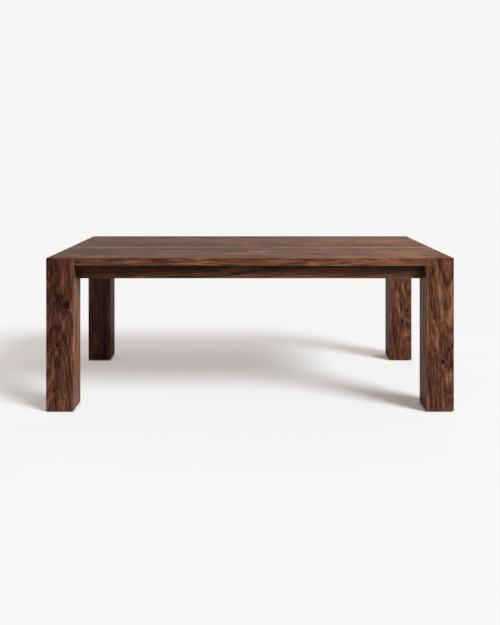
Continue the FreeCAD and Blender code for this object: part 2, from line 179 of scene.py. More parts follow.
def material_graph(name):
    return Graph(bpy.data.materials.new(name))


def rgb(*values):
    return (*values, 1.0)


# ---------------------------------------------------------------- objects

# Points nearer to each other than this are one.
SAME_PLACE = 1e-6
EASED_ANGLE = math.radians(30)


def new_object(name, mesh):
    made = bpy.data.objects.new(name, mesh)
    bpy.context.scene.collection.objects.link(made)
    return made


def object_of(name, b):
    """An object with the mesh of a bmesh, which is freed."""
    mesh = bpy.data.meshes.new(name)
    b.to_mesh(mesh)
    b.free()
    return new_object(name, mesh)


def cover(object_, material):
    object_.data.materials.clear()
    object_.data.materials.append(material)


def finish(node, material, width=0.0006, segments=3):
    """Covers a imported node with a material, and rounds its sharp edges."""
    cover(node, material)
    weld = node.modifiers.new("weld", "WELD")
    weld.merge_threshold = SAME_PLACE
    bevel = node.modifiers.new("eased edges", "BEVEL")
    bevel.limit_method = "ANGLE"
    bevel.angle_limit = EASED_ANGLE
    bevel.width = width
    bevel.segments = segments
    bevel.harden_normals = True


def box_of(node):
    """The middle of a node's box, and half its size."""
    low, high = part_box(node.name)
    return tuple((low + high) / 2), tuple((high - low) / 2)


# ---------------------------------------------------------------- timber

# Colours by tone, from 0, the darkest, to 1, the palest.
WALNUT = [
    (0.00, (0.013, 0.0034, 0.0018)),
    (0.25, (0.043, 0.0125, 0.0060)),
    (0.50, (0.100, 0.0345, 0.0174)),
    (0.75, (0.194, 0.0770, 0.0395)),
    (1.00, (0.320, 0.1480, 0.0790)),
]
PALE = [
    (0.00, (0.230, 0.1350, 0.0720)),
    (0.35, (0.340, 0.2150, 0.1200)),
    (0.65, (0.420, 0.2850, 0.1700)),
    (1.00, (0.500, 0.3600, 0.2350)),
]
# The axes of a piece that u, v and w stand for, by the axis its grain runs along.
AXIS_ORDER = {"x": (1, 2, 0), "y": (0, 2, 1), "z": (0, 1, 2)}

# Noise in the wood: features per metre along u, v and w, then detail and roughness.
SLOW_BEND = ((2.2, 2.2, 1.3), 1.0, 0.5)
QUICK_BEND = ((14, 14, 5), 1.6, 0.5)
STREAKS = ((130, 130, 8.0), 3.0, 0.80)
THREADS = ((300, 300, 7.0), 2.0, 0.6)
FIBRES = ((1100, 1100, 14.0), 1.0, 0.5)
PORES = ((900, 900, 55.0), 1.0, 0.5)
FLECKS = ((24, 24, 7.0), 3.0, 0.65)
CLOUDS = ((6.5, 6.5, 1.6), 2.0, 0.5)
WARMTH = ((9.0, 9.0, 2.0), 1.0, 0.5)
SMEARS = ((7.0, 7.0, 3.0), 3.0, 0.6)
NOISE_MIDDLE = (0.5, 0.5, 0.5)
# Noise from ring to ring: features per ring, detail and roughness.
BANDS = (0.42, 3.0, 0.70)
YEARS = (1.25, 1.0, 0.5)
# How far a log's seed moves each noise, so that no two pieces share a pattern.
SEED_SHIFT = (1.0, 0.37, 1.91)
BANDS_SHIFT = 7.3
YEARS_SHIFT = 3.1
# How much each layer adds to the tone, the roughness and the height. In the tone, the first four
# are multiplied by the log's contrast.
TONE = {
    "bands": 0.80, "years": 0.40, "late": -0.26, "streaks": 1.50,
    "threads": 0.55, "fibres": 0.10, "clouds": 0.35, "pores": -0.12, "heart": -0.95,
}
ROUGHNESS = {"smears": 0.16, "streaks": 0.12, "pores": 0.16}
HEIGHT = {"pores": -1.0, "fibres": 0.45, "threads": 0.55, "late": 0.30}
# How uneven the rings are, the power that narrows the late wood at the end of each, and the mean of
# what it gives, which is taken off again.
RING_WOBBLE = 1.6
LATE_SHARPNESS = 4.0
LATE_MEAN = 0.2
# Where a patch starts and where it is full, and then its least and its greatest strength, if these
# aren't 0 and 1.
PORE_STEP = (0.60, 0.72)
HEART_STEP = (0.50, 0.80)
WARM_STEP = (0.35, 0.70, 0.0, 0.7)
SAWN_END_STEP = (0.80, 0.95)
RUBBED_STEP = (0.35, 0.62)
# How strongly the fibres part round a knot or a lens, along u, v and w.
FIBRES_PART = (0.7, 0.7, 0.0)
WARM_STAIN = (1.12, 0.97, 0.86)
# Edges are rubbed in full up to the core, and not at all beyond the reach.
RUBBED_REACH, RUBBED_CORE = 0.0035, 0.0005
RUBBED_AMOUNT = 0.22
RUBBED_COLOUR = (0.24, 0.12, 0.07)
ROUGHEST = 0.85
SPECULAR = 0.15
GRAIN_DEPTH = 0.00025


@dataclass
class Log:
    """What a piece was sawn from.

    Its pith is at (u, v) where w, the axis along the grain, is 0, and lean is how far it strays in
    each metre along w. Ring is the width of a year's growth, wander is how far the grain strays, and
    tone is the middle tone of the wood.
    """

    pith: tuple
    lean: tuple
    ring: float
    wander: float
    seed: float
    contrast: float
    tone: float


def curled(layer, curl):
    """A layer of noise whose features are shorter along the grain."""
    (across, deep, along), detail, roughness = layer
    return (across, deep, along * curl), detail, roughness


def timber(
    name, centre, half, grain, log, stops,
    knots=(), lenses=(), shades=(), tints=(), wild=(),
    turn=0.0, gloss=0.44, mottle=0.50, end_tint=(1.32, 1.34, 1.36), curl=1.0
):
    """Wood figured by the growth rings of a log.

    Places are counted from centre. Half is half the size of the box round it whose edges are rubbed,
    and turn is the angle about Z that lays the piece along X. Knots, lenses, shades and wild hold
    (place, size, amount), and the first three may have a tilt after it. Knots and lenses lift the
    rings like a hill, so they close round it, and a knot has a dark heart. Shades lighten or darken,
    some of them as painted light or shade, and wild makes the grain wavy. Tints hold (place, size,
    colour, amount) and stain. Gloss is the middle roughness, mottle the strength of the flecks,
    end_tint the colour of sawn ends, in part painted sheen on the legs, and curl shortens the streaks.
    """
    s = material_graph(name)
    world = s.place()
    local = s.vector("SUBTRACT", world, centre)
    if turn:
        settings = {"rotation_type": "Z_AXIS"}
        local = s.node("ShaderNodeVectorRotate", settings, {"Vector": local, "Angle": turn})
    order = AXIS_ORDER[grain]
    parts = s.split(local)
    p = s.join(*(parts[i] for i in order))
    seed = tuple(log.seed * shift for shift in SEED_SHIFT)
    shifted = s.vector("ADD", p, seed)

    # the grain wanders slowly and quickly, and more where it is wild
    slow = s.vector("SUBTRACT", s.noise(shifted, *SLOW_BEND, 1), NOISE_MIDDLE)
    bent = s.vector("MULTIPLY_ADD", slow, (log.wander * 2, log.wander * 2, 0.0), p)
    quick = s.vector("SUBTRACT", s.noise(shifted, *QUICK_BEND, 1), NOISE_MIDDLE)
    reach = log.wander / 2
    for place, size, amount in wild:
        reach = s.math("MULTIPLY_ADD", s.bell(p, place, size), amount, reach)
    bent = s.vector("MULTIPLY_ADD", quick, s.join(reach, reach, 0.0), bent)

    # fibres part round the knots, and the rings close round them
    along = s.split(p)[2]
    pith = s.vector("MULTIPLY_ADD", s.join(along, along, along), (*log.lean, 1.0), (*log.pith, 0.0))
    radius = s.vector("LENGTH", s.vector("SUBTRACT", bent, pith))
    flow = bent
    hearts = []
    for index, (place, size, amount, *tilt) in enumerate([*knots, *lenses]):
        hill = s.bell(bent, place, size, *tilt)
        radius = s.math("MULTIPLY_ADD", hill, amount, radius)
        away = s.vector("MULTIPLY", s.vector("SUBTRACT", place, bent), FIBRES_PART)
        flow = s.vector("MULTIPLY_ADD", s.join(hill, hill, hill), away, flow)
        if index < len(knots):
            hearts.append(s.step(hill, *HEART_STEP))
    flow = s.vector("ADD", flow, seed)
    rings = s.math("DIVIDE", radius, log.ring)
    bands = s.noise_along(s.math("ADD", rings, log.seed * BANDS_SHIFT), *BANDS)
    years = s.noise_along(s.math("ADD", rings, log.seed * YEARS_SHIFT), *YEARS)
    within_year = s.math("FRACT", s.total(rings, s.spread(bands, RING_WOBBLE)))
    late = s.math("POWER", within_year, LATE_SHARPNESS)
    streaks = s.noise(flow, *curled(STREAKS, curl))
    threads = s.noise(flow, *curled(THREADS, curl))
    fibres = s.noise(flow, *FIBRES)
    pores = s.step(s.noise(flow, *PORES), *PORE_STEP)
    clouds = s.noise(shifted, *CLOUDS)
    flecks = s.noise(flow, *FLECKS)

    tone = s.total(
        s.spread(bands, TONE["bands"] * log.contrast),
        s.spread(years, TONE["years"] * log.contrast),
        s.spread(late, TONE["late"] * log.contrast, LATE_MEAN),
        s.spread(streaks, TONE["streaks"] * log.contrast),
        s.spread(flecks, mottle),
        s.spread(threads, TONE["threads"]),
        s.spread(fibres, TONE["fibres"]),
        s.spread(clouds, TONE["clouds"]),
        s.math("MULTIPLY", pores, TONE["pores"]),
        log.tone,
    )
    for place, size, amount, *tilt in shades:
        tone = s.math("MULTIPLY_ADD", s.bell(p, place, size, *tilt), amount, tone)
    for heart in hearts:
        tone = s.math("MULTIPLY_ADD", heart, TONE["heart"], tone)
    colour = s.ramp(tone, stops)
    warm = s.step(s.noise(shifted, *WARMTH), *WARM_STEP)
    colour = s.mix(warm, colour, rgb(*WARM_STAIN), "MULTIPLY")
    for place, size, stain, amount in tints:
        strength = s.math("MULTIPLY", s.bell(bent, place, size), amount)
        colour = s.mix(strength, colour, rgb(*stain), "MULTIPLY")

    # sawn ends take the stain differently; on the legs they are paler and a little bluer, partly for
    # the legs' darker wood and partly as painted sheen that matches the board tops round them. Edges
    # that hands and cloths rub are a little paler
    if not turn:
        facing = s.split(s.node("ShaderNodeNewGeometry", {}, {}, "Normal"))[order[2]]
        sawn_end = s.step(s.math("ABSOLUTE", facing), *SAWN_END_STEP)
        colour = s.mix(sawn_end, colour, rgb(*end_tint), "MULTIPLY")
    near_edge = s.edge(world, centre, half, RUBBED_REACH, RUBBED_CORE)
    rubbed = s.math("MULTIPLY", near_edge, s.step(threads, *RUBBED_STEP))
    colour = s.mix(s.math("MULTIPLY", rubbed, RUBBED_AMOUNT), colour, rgb(*RUBBED_COLOUR))

    rough = s.total(
        s.spread(s.noise(shifted, *SMEARS), ROUGHNESS["smears"]),
        s.spread(streaks, ROUGHNESS["streaks"]),
        s.math("MULTIPLY", pores, ROUGHNESS["pores"]),
        gloss,
    )
    height = s.total(
        s.math("MULTIPLY", pores, HEIGHT["pores"]),
        s.math("MULTIPLY", fibres, HEIGHT["fibres"]),
        s.math("MULTIPLY", threads, HEIGHT["threads"]),
        s.math("MULTIPLY", late, HEIGHT["late"]),
    )
    return s.principled(
        Base_Color=colour,
        Roughness=s.math("MINIMUM", rough, ROUGHEST),
        Specular_IOR_Level=SPECULAR,
        Normal=s.bump(height, GRAIN_DEPTH),
    )


# Legs. u is X and v is Y from the axis of the post, and w is Z. The front face is at v = FACE.
FACE = -LEG_SIDE / 2


def painted_face_light(u, amount):
    """Painted light or shade: lightens or darkens the whole of a leg's face at u, up to the apron, for
    the light that face gets.
    """
    return ((u, 0.0, 0.300), (0.010, 0.30, 0.600), amount)


LEFT_FIGURE = {
    "knots": [
        ((0.033, FACE, 0.521), (0.017, 0.05, 0.028), 0.020),
        ((0.014, FACE, 0.565), (0.008, 0.05, 0.013), 0.008),
        ((-0.012, FACE, 0.334), (0.012, 0.05, 0.020), 0.014),
    ],
    "lenses": [
        ((-0.060, FACE, 0.690), (0.034, 0.05, 0.090), -0.016),
        ((-0.010, FACE, 0.200), (0.010, 0.05, 0.060), 0.010, 0.12),
    ],
    "shades": [
        ((-0.004, FACE, 0.545), (0.040, 0.06, 0.050), -0.20),
        ((-0.035, FACE, 0.420), (0.026, 0.06, 0.110), -0.16),
        ((0.020, FACE, 0.430), (0.009, 0.06, 0.090), 0.22, 0.35),
        ((0.045, FACE, 0.230), (0.020, 0.06, 0.200), 0.04),
        ((-0.012, FACE, 0.190), (0.012, 0.06, 0.100), -0.26, 0.05),
        ((-0.040, FACE, 0.120), (0.009, 0.06, 0.090), 0.20, 0.10),
        # painted light on the inner face
        painted_face_light(-FACE, 0.29),
        ((-0.020, FACE, 0.690), (0.070, 0.06, 0.150), -0.14),
        ((0.035, FACE, 0.150), (0.060, 0.06, 0.200), -0.06),
    ],
    "tints": [((-0.022, FACE, 0.480), (0.040, 0.06, 0.140), (0.90, 0.80, 1.05), 0.8)],
    "wild": [
        ((-0.010, FACE, 0.520), (0.060, 0.08, 0.110), 0.034),
        ((-0.020, FACE, 0.160), (0.050, 0.08, 0.130), 0.040),
    ],
}
RIGHT_FIGURE = {
    "knots": [
        ((0.015, FACE, 0.246), (0.012, 0.05, 0.018), 0.014),
        ((0.045, FACE, 0.309), (0.009, 0.05, 0.015), 0.010),
    ],
    "lenses": [
        ((-0.024, FACE, 0.430), (0.010, 0.05, 0.055), 0.015, -0.25),
        ((0.018, FACE, 0.425), (0.008, 0.05, 0.045), 0.013, -0.25),
        ((0.003, FACE, 0.335), (0.009, 0.05, 0.055), 0.012, -0.15),
        ((0.040, FACE, 0.385), (0.007, 0.05, 0.045), 0.010, -0.20),
        ((-0.008, FACE, 0.200), (0.013, 0.05, 0.070), 0.017, -0.10),
    ],
    "shades": [
        ((-0.024, FACE, 0.425), (0.006, 0.05, 0.042), 0.36, -0.25),
        ((0.018, FACE, 0.425), (0.005, 0.05, 0.034), 0.30, -0.25),
        ((-0.014, FACE, 0.338), (0.0045, 0.05, 0.045), 0.28, -0.08),
        ((0.004, FACE, 0.335), (0.005, 0.05, 0.045), -0.26, -0.10),
        ((-0.034, FACE, 0.485), (0.006, 0.05, 0.030), -0.26, -0.20),
        ((-0.036, FACE, 0.555), (0.0045, 0.05, 0.030), 0.22, -0.05),
        ((-0.012, FACE, 0.700), (0.004, 0.05, 0.070), 0.20),
        ((-0.040, FACE, 0.690), (0.008, 0.05, 0.060), -0.20),
        ((0.018, FACE, 0.690), (0.006, 0.05, 0.060), -0.10),
        ((0.036, FACE, 0.668), (0.011, 0.05, 0.042), 0.17),
        ((0.048, FACE, 0.182), (0.016, 0.05, 0.008), 0.30),
        ((0.040, FACE, 0.160), (0.020, 0.05, 0.008), 0.26),
        ((0.046, FACE, 0.224), (0.020, 0.05, 0.010), -0.26),
        ((0.002, FACE, 0.225), (0.008, 0.05, 0.040), -0.20),
        ((-0.052, FACE, 0.190), (0.016, 0.05, 0.120), -0.12),
        ((0.000, FACE, 0.060), (0.090, 0.06, 0.070), -0.05),
        ((0.056, FACE, 0.480), (0.014, 0.06, 0.200), 0.10),
        # painted light on the inner face, which looks away from the sun
        painted_face_light(FACE, 0.30),
        ((0.010, FACE, 0.560), (0.060, 0.06, 0.200), 0.08),
    ],
    "tints": [
        ((0.010, FACE, 0.080), (0.090, 0.06, 0.080), (0.98, 0.84, 0.92), 0.8),
        ((-0.050, FACE, 0.260), (0.030, 0.06, 0.200), (1.00, 0.86, 0.92), 0.7),
        ((0.000, FACE, 0.680), (0.090, 0.06, 0.080), (1.00, 0.90, 0.96), 0.6),
    ],
    "wild": [((0.000, FACE, 0.350), (0.050, 0.08, 0.190), 0.034)],
    "curl": 1.75,
}
# The back ones differ in the painted light and shade on the face that looks inwards.
BACK_LEFT_FIGURE = {"shades": [painted_face_light(-FACE, 0.22)]}
BACK_RIGHT_FIGURE = {**RIGHT_FIGURE, "shades": [*RIGHT_FIGURE["shades"], painted_face_light(FACE, -0.12)]}
# The way each leg lies from the middle of the table, to the east and to the north.
CORNERS = {
    "front_left": (-1, -1), "front_right": (1, -1), "back_right": (1, 1), "back_left": (-1, 1),
}
LEG_LOGS = {
    "front_left": Log((-0.030, 0.160), (0.02, 0.055), 0.0065, 0.010, 1.3, 1.05, 0.40),
    "front_right": Log((0.050, 0.150), (-0.02, -0.050), 0.0062, 0.010, 4.7, 1.10, 0.45),
    "back_right": Log((0.050, 0.150), (-0.02, -0.050), 0.0062, 0.010, 4.9, 1.05, 0.49),
    "back_left": Log((-0.130, 0.220), (0.01, 0.010), 0.0060, 0.008, 8.2, 0.95, 0.42),
}
LEG_FIGURES = {
    "front_left": LEFT_FIGURE, "front_right": RIGHT_FIGURE,
    "back_right": BACK_RIGHT_FIGURE, "back_left": BACK_LEFT_FIGURE,
}
# Half the size of a box that is longer than a leg, so that only the upright edges are rubbed.
LEG_BOX_HALF = (LEG_SIDE / 2, LEG_SIDE / 2, 0.9)
for corner, (east, north) in CORNERS.items():
    log, figure = LEG_LOGS[corner], LEG_FIGURES[corner]
    axis = (east * LEG_X, north * LEG_Y, 0.0)
    name = "walnut_leg_" + corner
    finish(nodes["leg_" + corner], timber(name, axis, LEG_BOX_HALF, "z", log, WALNUT, **figure))

# Top boards, from the front. u is Y and v is Z from the board's middle, and w is X.
BOARDS = [
    Log((0.060, -0.110), (0.020, 0.030), 0.0062, 0.012, 2.1, 1.0, 0.50),
    Log((-0.050, -0.150), (-0.015, -0.020), 0.0058, 0.012, 5.4, 1.0, 0.50),
    Log((0.030, -0.090), (0.010, 0.020), 0.0060, 0.014, 7.9, 1.0, 0.50),
    Log((-0.090, -0.120), (0.020, -0.015), 0.0060, 0.012, 11.2, 1.0, 0.49),
    Log((0.020, -0.140), (-0.015, 0.015), 0.0064, 0.012, 14.6, 1.0, 0.50),
]
BOARD_SHADES = {
    1: [
        ((-0.104, 0.0, 0.0), (0.014, 0.1, 3.0), 0.02),
        ((-0.104, 0.0, 0.7), (0.014, 0.1, 0.6), -0.11),
        ((-0.104, 0.0, 0.0), (0.014, 0.1, 0.40), 0.08),
        ((0.040, 0.0, 0.32), (0.025, 0.1, 0.06), -0.20),
        ((-0.045, 0.0, 0.08), (0.045, 0.1, 0.15), -0.26),
        ((0.060, 0.0, -0.85), (0.040, 0.1, 0.15), -0.14),
        ((-0.020, 0.0, -0.68), (0.045, 0.1, 0.20), 0.09),
        ((0.070, 0.0, 0.45), (0.025, 0.1, 0.06), 0.16),
        ((0.000, 0.0, 0.80), (0.060, 0.1, 0.10), 0.12),
    ],
    2: [
        ((0.032, 0.0, -0.66), (0.030, 0.1, 0.34), -0.32),
        ((0.032, 0.0, -0.14), (0.030, 0.1, 0.22), -0.26),
        ((-0.040, 0.0, -0.85), (0.040, 0.1, 0.15), -0.22),
        ((-0.060, 0.0, 0.04), (0.025, 0.1, 0.06), 0.12),
        ((0.030, 0.0, 0.17), (0.030, 0.1, 0.05), -0.20),
        ((0.020, 0.0, 0.72), (0.030, 0.1, 0.10), -0.12),
    ],
    3: [
        ((-0.080, 0.0, -0.72), (0.020, 0.1, 0.30), 0.27),
        ((-0.080, 0.0, -0.22), (0.020, 0.1, 0.32), 0.19),
        ((-0.075, 0.0, 0.68), (0.024, 0.1, 0.45), 0.34),
        ((0.005, 0.0, 0.50), (0.020, 0.1, 0.50), -0.20),
        ((0.008, 0.0, -0.20), (0.022, 0.1, 0.55), -0.20),
        ((0.050, 0.0, 0.00), (0.025, 0.1, 3.00), -0.09),
        ((0.030, 0.0, -0.60), (0.050, 0.1, 0.35), -0.14),
        ((0.070, 0.0, -0.24), (0.050, 0.1, 0.05), -0.22),
    ],
    4: [
        ((-0.015, 0.0, -0.72), (0.035, 0.1, 0.13), -0.18),
        ((0.000, 0.0, -0.92), (0.100, 0.1, 0.15), -0.16),
        ((0.080, 0.0, 0.48), (0.030, 0.1, 0.06), 0.30),
        ((0.030, 0.0, -0.08), (0.045, 0.1, 0.36), 0.13),
        ((0.050, 0.0, 0.80), (0.050, 0.1, 0.14), 0.24),
        ((-0.070, 0.0, 0.66), (0.035, 0.1, 0.14), -0.22),
        ((-0.020, 0.0, 0.30), (0.030, 0.1, 0.08), -0.14),
    ],
    5: [
        ((0.050, 0.0, 0.00), (0.060, 0.1, 3.00), -0.10),
        ((0.030, 0.0, -0.60), (0.050, 0.1, 0.13), -0.24),
        ((0.030, 0.0, 0.00), (0.050, 0.1, 0.05), -0.18),
        ((0.030, 0.0, 0.23), (0.050, 0.1, 0.03), -0.18),
        ((0.020, 0.0, -0.42), (0.040, 0.1, 0.04), 0.20),
        ((0.030, 0.0, -0.95), (0.060, 0.1, 0.06), 0.20),
    ],
}
# All boards are lighter towards their right-hand end, which is painted light, and stained a little
# yellower than the legs.
BOARD_PAINTED_RIGHT_LIGHT = ((0.0, 0.0, 1.3), (0.5, 0.2, 1.1), 0.20)
BOARD_STAIN = ((0.0, 0.0, 0.0), (9.0, 9.0, 9.0), (1.0, 1.01, 0.87), 1.0)
BOARD_LOOKS = {
    "tints": [BOARD_STAIN], "gloss": 0.40, "mottle": 0.80, "end_tint": (0.78, 0.76, 0.74),
}
for number, log in enumerate(BOARDS, start=1):
    board = nodes[f"top_board_{number}"]
    # the first shade is the painted light towards the right-hand end
    shades = [BOARD_PAINTED_RIGHT_LIGHT, *BOARD_SHADES[number]]
    name = f"walnut_board_{number}"
    finish(board, timber(name, *box_of(board), "x", log, WALNUT, shades=shades, **BOARD_LOOKS))

# Aprons. u is Y and v is Z in the front and back ones, and w is X. In the others u is X and w is Y.
APRONS = {
    "front": ("x", Log((0.09, 0.030), (0.02, 0.02), 0.0060, 0.010, 3.3, 0.75, 0.52)),
    "back": ("x", Log((-0.08, 0.020), (0.02, -0.02), 0.0060, 0.010, 6.6, 0.95, 0.44)),
    "left": ("y", Log((0.09, -0.020), (0.03, 0.02), 0.0060, 0.010, 9.1, 0.95, 0.44)),
    "right": ("y", Log((-0.09, 0.020), (0.02, 0.03), 0.0060, 0.010, 12.4, 0.95, 0.44)),
}
# On the front apron: painted shadow under the top's overhang along the upper edge, painted light along
# the lower edge towards the right, and a darker left end.
APRON_PAINTED_SHADE_AND_LIGHT = {
    "front": [
        ((0.0, 0.035, 0.0), (0.1, 0.026, 3.0), -0.17),
        ((0.0, 0.020, 0.5), (0.1, 0.024, 0.8), -0.08),
        ((0.0, -0.035, 0.6), (0.1, 0.026, 1.0), 0.23),
        ((0.0, 0.0, -0.8), (0.1, 0.1, 0.4), -0.15),
    ],
}
# The size and amount of the darker ends of an apron, where little light gets in beside the legs.
BESIDE_LEG = ((0.1, 0.1, 0.040), -0.24)
for side, (grain, log) in APRONS.items():
    board = nodes["apron_" + side]
    centre, half = box_of(board)
    end = half[AXIS_ORDER[grain][2]]
    beside_legs = [((0.0, 0.0, w), *BESIDE_LEG) for w in (-end, end)]
    # on the front apron the shades add its painted shadow and light
    shades = [*beside_legs, *APRON_PAINTED_SHADE_AND_LIGHT.get(side, [])]
    name = "walnut_apron_" + side
    finish(board, timber(name, centre, half, grain, log, WALNUT, shades=shades))

# Parts that are only seen from below, in a pale wood left as it was planed.
PLANED = 0.6
# Half the size of a box whose edges are far from the piece, so that none are rubbed.
NOT_RUBBED = (9.0, 9.0, 9.0)
for index, (corner, (east, north)) in enumerate(CORNERS.items()):
    block = nodes["corner_block_" + corner]
    log = Log((0.05, 0.06), (0.02, 0.02), 0.0030, 0.006, 20.0 + index, 0.8, 0.52)
    # each block lies across its corner, and this lays it along X
    turn = math.radians(45 * east * north)
    centre, _ = box_of(block)
    name = "block_" + corner
    finish(block, timber(name, centre, NOT_RUBBED, "x", log, PALE, turn=turn, gloss=PLANED))
for index, side in enumerate(("left", "right")):
    rail = nodes["cross_rail_" + side]
    log = Log((0.07, -0.05), (0.01, 0.02), 0.0032, 0.006, 30.0 + index, 0.8, 0.52)
    finish(rail, timber("rail_" + side, *box_of(rail), "y", log, PALE, gloss=PLANED))
buttons = nodes["top_buttons"]
centre = (0, 0, TOP_UNDERSIDE)
log = Log((0.3, 0.2), (0.0, 0.0), 0.0026, 0.004, 40.0, 0.8, 0.55)
finish(buttons, timber("button_wood", centre, NOT_RUBBED, "x", log, PALE, gloss=PLANED), 0.0005, 2)


# ---------------------------------------------------------------- metal and nylon

# Noise in metal and nylon: features per metre along X, Y and Z, then detail and roughness.
METAL_MOTTLE = ((210, 210, 210), 4.0, 0.6)
METAL_PATCHES = ((38, 38, 38), 3.0, 0.6)
NYLON_GRAIN = ((1400, 1400, 1400), 2.0, 0.6)
NYLON_SCUFFS = ((160, 160, 420), 4.0, 0.7)
# Brush lines, the same way: in all directions, and round a turned part.
BRUSHED = ((720, 720, 720), 2.0, 0.6)
TURNED_STEEL = ((240, 240, 1920), 2.0, 0.6)
TURNED_BRASS = ((240, 240, 2400), 2.0, 0.6)
# Where a patch starts and where it is full, as for the wood.
WORN_STEP = (0.35, 0.65)
TARNISH_STEP = (0.50, 0.72, 0.0, 0.8)
SCUFFED_STEP = (0.52, 0.75, 0.0, 0.7)
# How much each layer adds to the roughness and to the height.
METAL_ROUGHNESS = {"mottle": 0.20, "patches": 0.18, "lines": 0.10}
METAL_HEIGHT = {"lines": 0.6, "mottle": 0.4}
NYLON_ROUGHNESS = {"scuffs": 0.3, "grain": 0.15}
NYLON_HEIGHT = {"grain": 0.6, "scuffs": 0.4}
METAL_DEPTH, NYLON_DEPTH = 0.00004, 0.00006


def metal(name, base, worn, rough, brushing, tarnish):
    """Plated or oiled steel, or brass: faint brushing, mottling, and tarnish in patches."""
    s = material_graph(name)
    p = s.place()
    mottle = s.noise(p, *METAL_MOTTLE)
    lines = s.noise(p, *brushing)
    patches = s.noise(p, *METAL_PATCHES)
    colour = s.mix(s.step(mottle, *WORN_STEP), rgb(*base), rgb(*worn))
    colour = s.mix(s.step(patches, *TARNISH_STEP), colour, rgb(*tarnish), "MULTIPLY")
    roughness = s.total(
        s.spread(mottle, METAL_ROUGHNESS["mottle"]),
        s.spread(patches, METAL_ROUGHNESS["patches"]),
        s.spread(lines, METAL_ROUGHNESS["lines"]),
        rough,
    )
    height = s.total(
        s.math("MULTIPLY", lines, METAL_HEIGHT["lines"]),
        s.math("MULTIPLY", mottle, METAL_HEIGHT["mottle"]),
    )
    return s.principled(
        Base_Color=colour,
        Metallic=1.0,
        Roughness=roughness,
        Normal=s.bump(height, METAL_DEPTH),
    )


def moulded(name, base, scuffed, rough):
    """Nylon, moulded with a fine grain and scuffed in places."""
    s = material_graph(name)
    p = s.place()
    grain = s.noise(p, *NYLON_GRAIN)
    scuffs = s.noise(p, *NYLON_SCUFFS)
    roughness = s.total(
        s.spread(scuffs, NYLON_ROUGHNESS["scuffs"]),
        s.spread(grain, NYLON_ROUGHNESS["grain"]),
        rough,
    )
    height = s.total(
        s.math("MULTIPLY", grain, NYLON_HEIGHT["grain"]),
        s.math("MULTIPLY", scuffs, NYLON_HEIGHT["scuffs"]),
    )
    return s.principled(
        Base_Color=s.mix(s.step(scuffs, *SCUFFED_STEP), rgb(*base), rgb(*scuffed)),
        Roughness=roughness,
        Normal=s.bump(height, NYLON_DEPTH),
    )


zinc = metal(
    "zinc_plate", (0.56, 0.57, 0.58), (0.66, 0.67, 0.67), 0.36, BRUSHED, (0.80, 0.76, 0.66)
)
black_steel = metal(
    "black_oxide_steel", (0.030, 0.030, 0.033), (0.075, 0.074, 0.075), 0.42, TURNED_STEEL,
    (0.70, 0.70, 0.72)
)
brass = metal(
    "turned_brass", (0.62, 0.46, 0.20), (0.74, 0.58, 0.30), 0.30, TURNED_BRASS, (0.62, 0.52, 0.45)
)
screw_steel = metal(
    "zinc_screws", (0.50, 0.48, 0.44), (0.66, 0.62, 0.52), 0.34, BRUSHED, (0.75, 0.68, 0.52)
)
nylon = moulded("nylon_pad", (0.022, 0.022, 0.023), (0.060, 0.058, 0.056), 0.55)
# Node, material, and the width and segments of its eased edges.
HARDWARE = [
    *((name, zinc, 0.0005, 2) for name in ("hanger_bolts", "bolt_washers", "bolt_nuts")),
    ("levelling_sleeves", brass, 0.0003, 2),
    *(("foot_stem_" + corner, black_steel, 0.0004, 2) for corner in CORNERS),
    *(("foot_pad_" + corner, nylon, 0.0006, 3) for corner in CORNERS),
]
for name, material, width, segments in HARDWARE:
    finish(nodes[name], material, width, segments)


# ---------------------------------------------------------------- wood screws

SCREW_SEGMENTS = 28
# The width of a screw's rounded edges, and the angle from which an edge is sharp.
SCREW_EDGE = 0.00012
SHARP = math.radians(40)
# The radius and the height of the head, the radius of the shank, and its length.
SMALL_SCREW = (0.0042, 0.0029, 0.0020, 0.030)
LARGE_SCREW = (0.0052, 0.0035, 0.0025, 0.050)
# The recess in a head: its reach and width as parts of the radius, its depth as a part of the
# height, how much of its reach and width is left at the bottom, and how far its cutter stands above
# the head.
RECESS_REACH, RECESS_WIDTH, RECESS_DEPTH = 0.52, 0.22, 0.75
BOTTOM_REACH, BOTTOM_WIDTH = 0.35, 0.6
CUTTER_ABOVE = 0.001


def turned(profile, segments):
    """A closed solid turned round Z from (radius, height) points that start and end on the axis."""
    b = bmesh.new()
    rings = []
    for radius, height in profile:
        if radius == 0:
            rings.append([b.verts.new((0, 0, height))])
            continue
        angles = (2 * math.pi * i / segments for i in range(segments))
        points = ((radius * math.cos(a), radius * math.sin(a), height) for a in angles)
        rings.append([b.verts.new(point) for point in points])
    for low, high in zip(rings, rings[1:]):
        m, n = len(low), len(high)
        for i in range(segments):
            j = (i + 1) % segments
            # a ring of one point makes two of the corners one, and the face a triangle
            corners = [low[i % m], low[j % m], high[j % n], high[i % n]]
            b.faces.new(list(dict.fromkeys(corners)))
    bmesh.ops.recalc_face_normals(b, faces=b.faces)
    return b


def cross_cutter(reach, width, depth, top):
    """Two crossing flutes that taper downwards, for the recess of a screw head."""
    b = bmesh.new()
    bottom = (top - depth, reach * BOTTOM_REACH, width * BOTTOM_WIDTH)
    for turn in (0, math.pi / 2):
        spin = Matrix.Rotation(turn, 4, "Z")
        corners = []
        for z, r, w in (bottom, (top + CUTTER_ABOVE, reach, width)):
            for x, y in ((-r, -w / 2), (r, -w / 2), (r, w / 2), (-r, w / 2)):
                corners.append(b.verts.new(spin @ Vector((x, y, z))))
        low, high = corners[:4], corners[4:]
        b.faces.new(low)
        b.faces.new(high)
        for i in range(4):
            j = (i + 1) % 4
            b.faces.new((low[i], low[j], high[j], high[i]))
    bmesh.ops.recalc_face_normals(b, faces=b.faces)
    return b


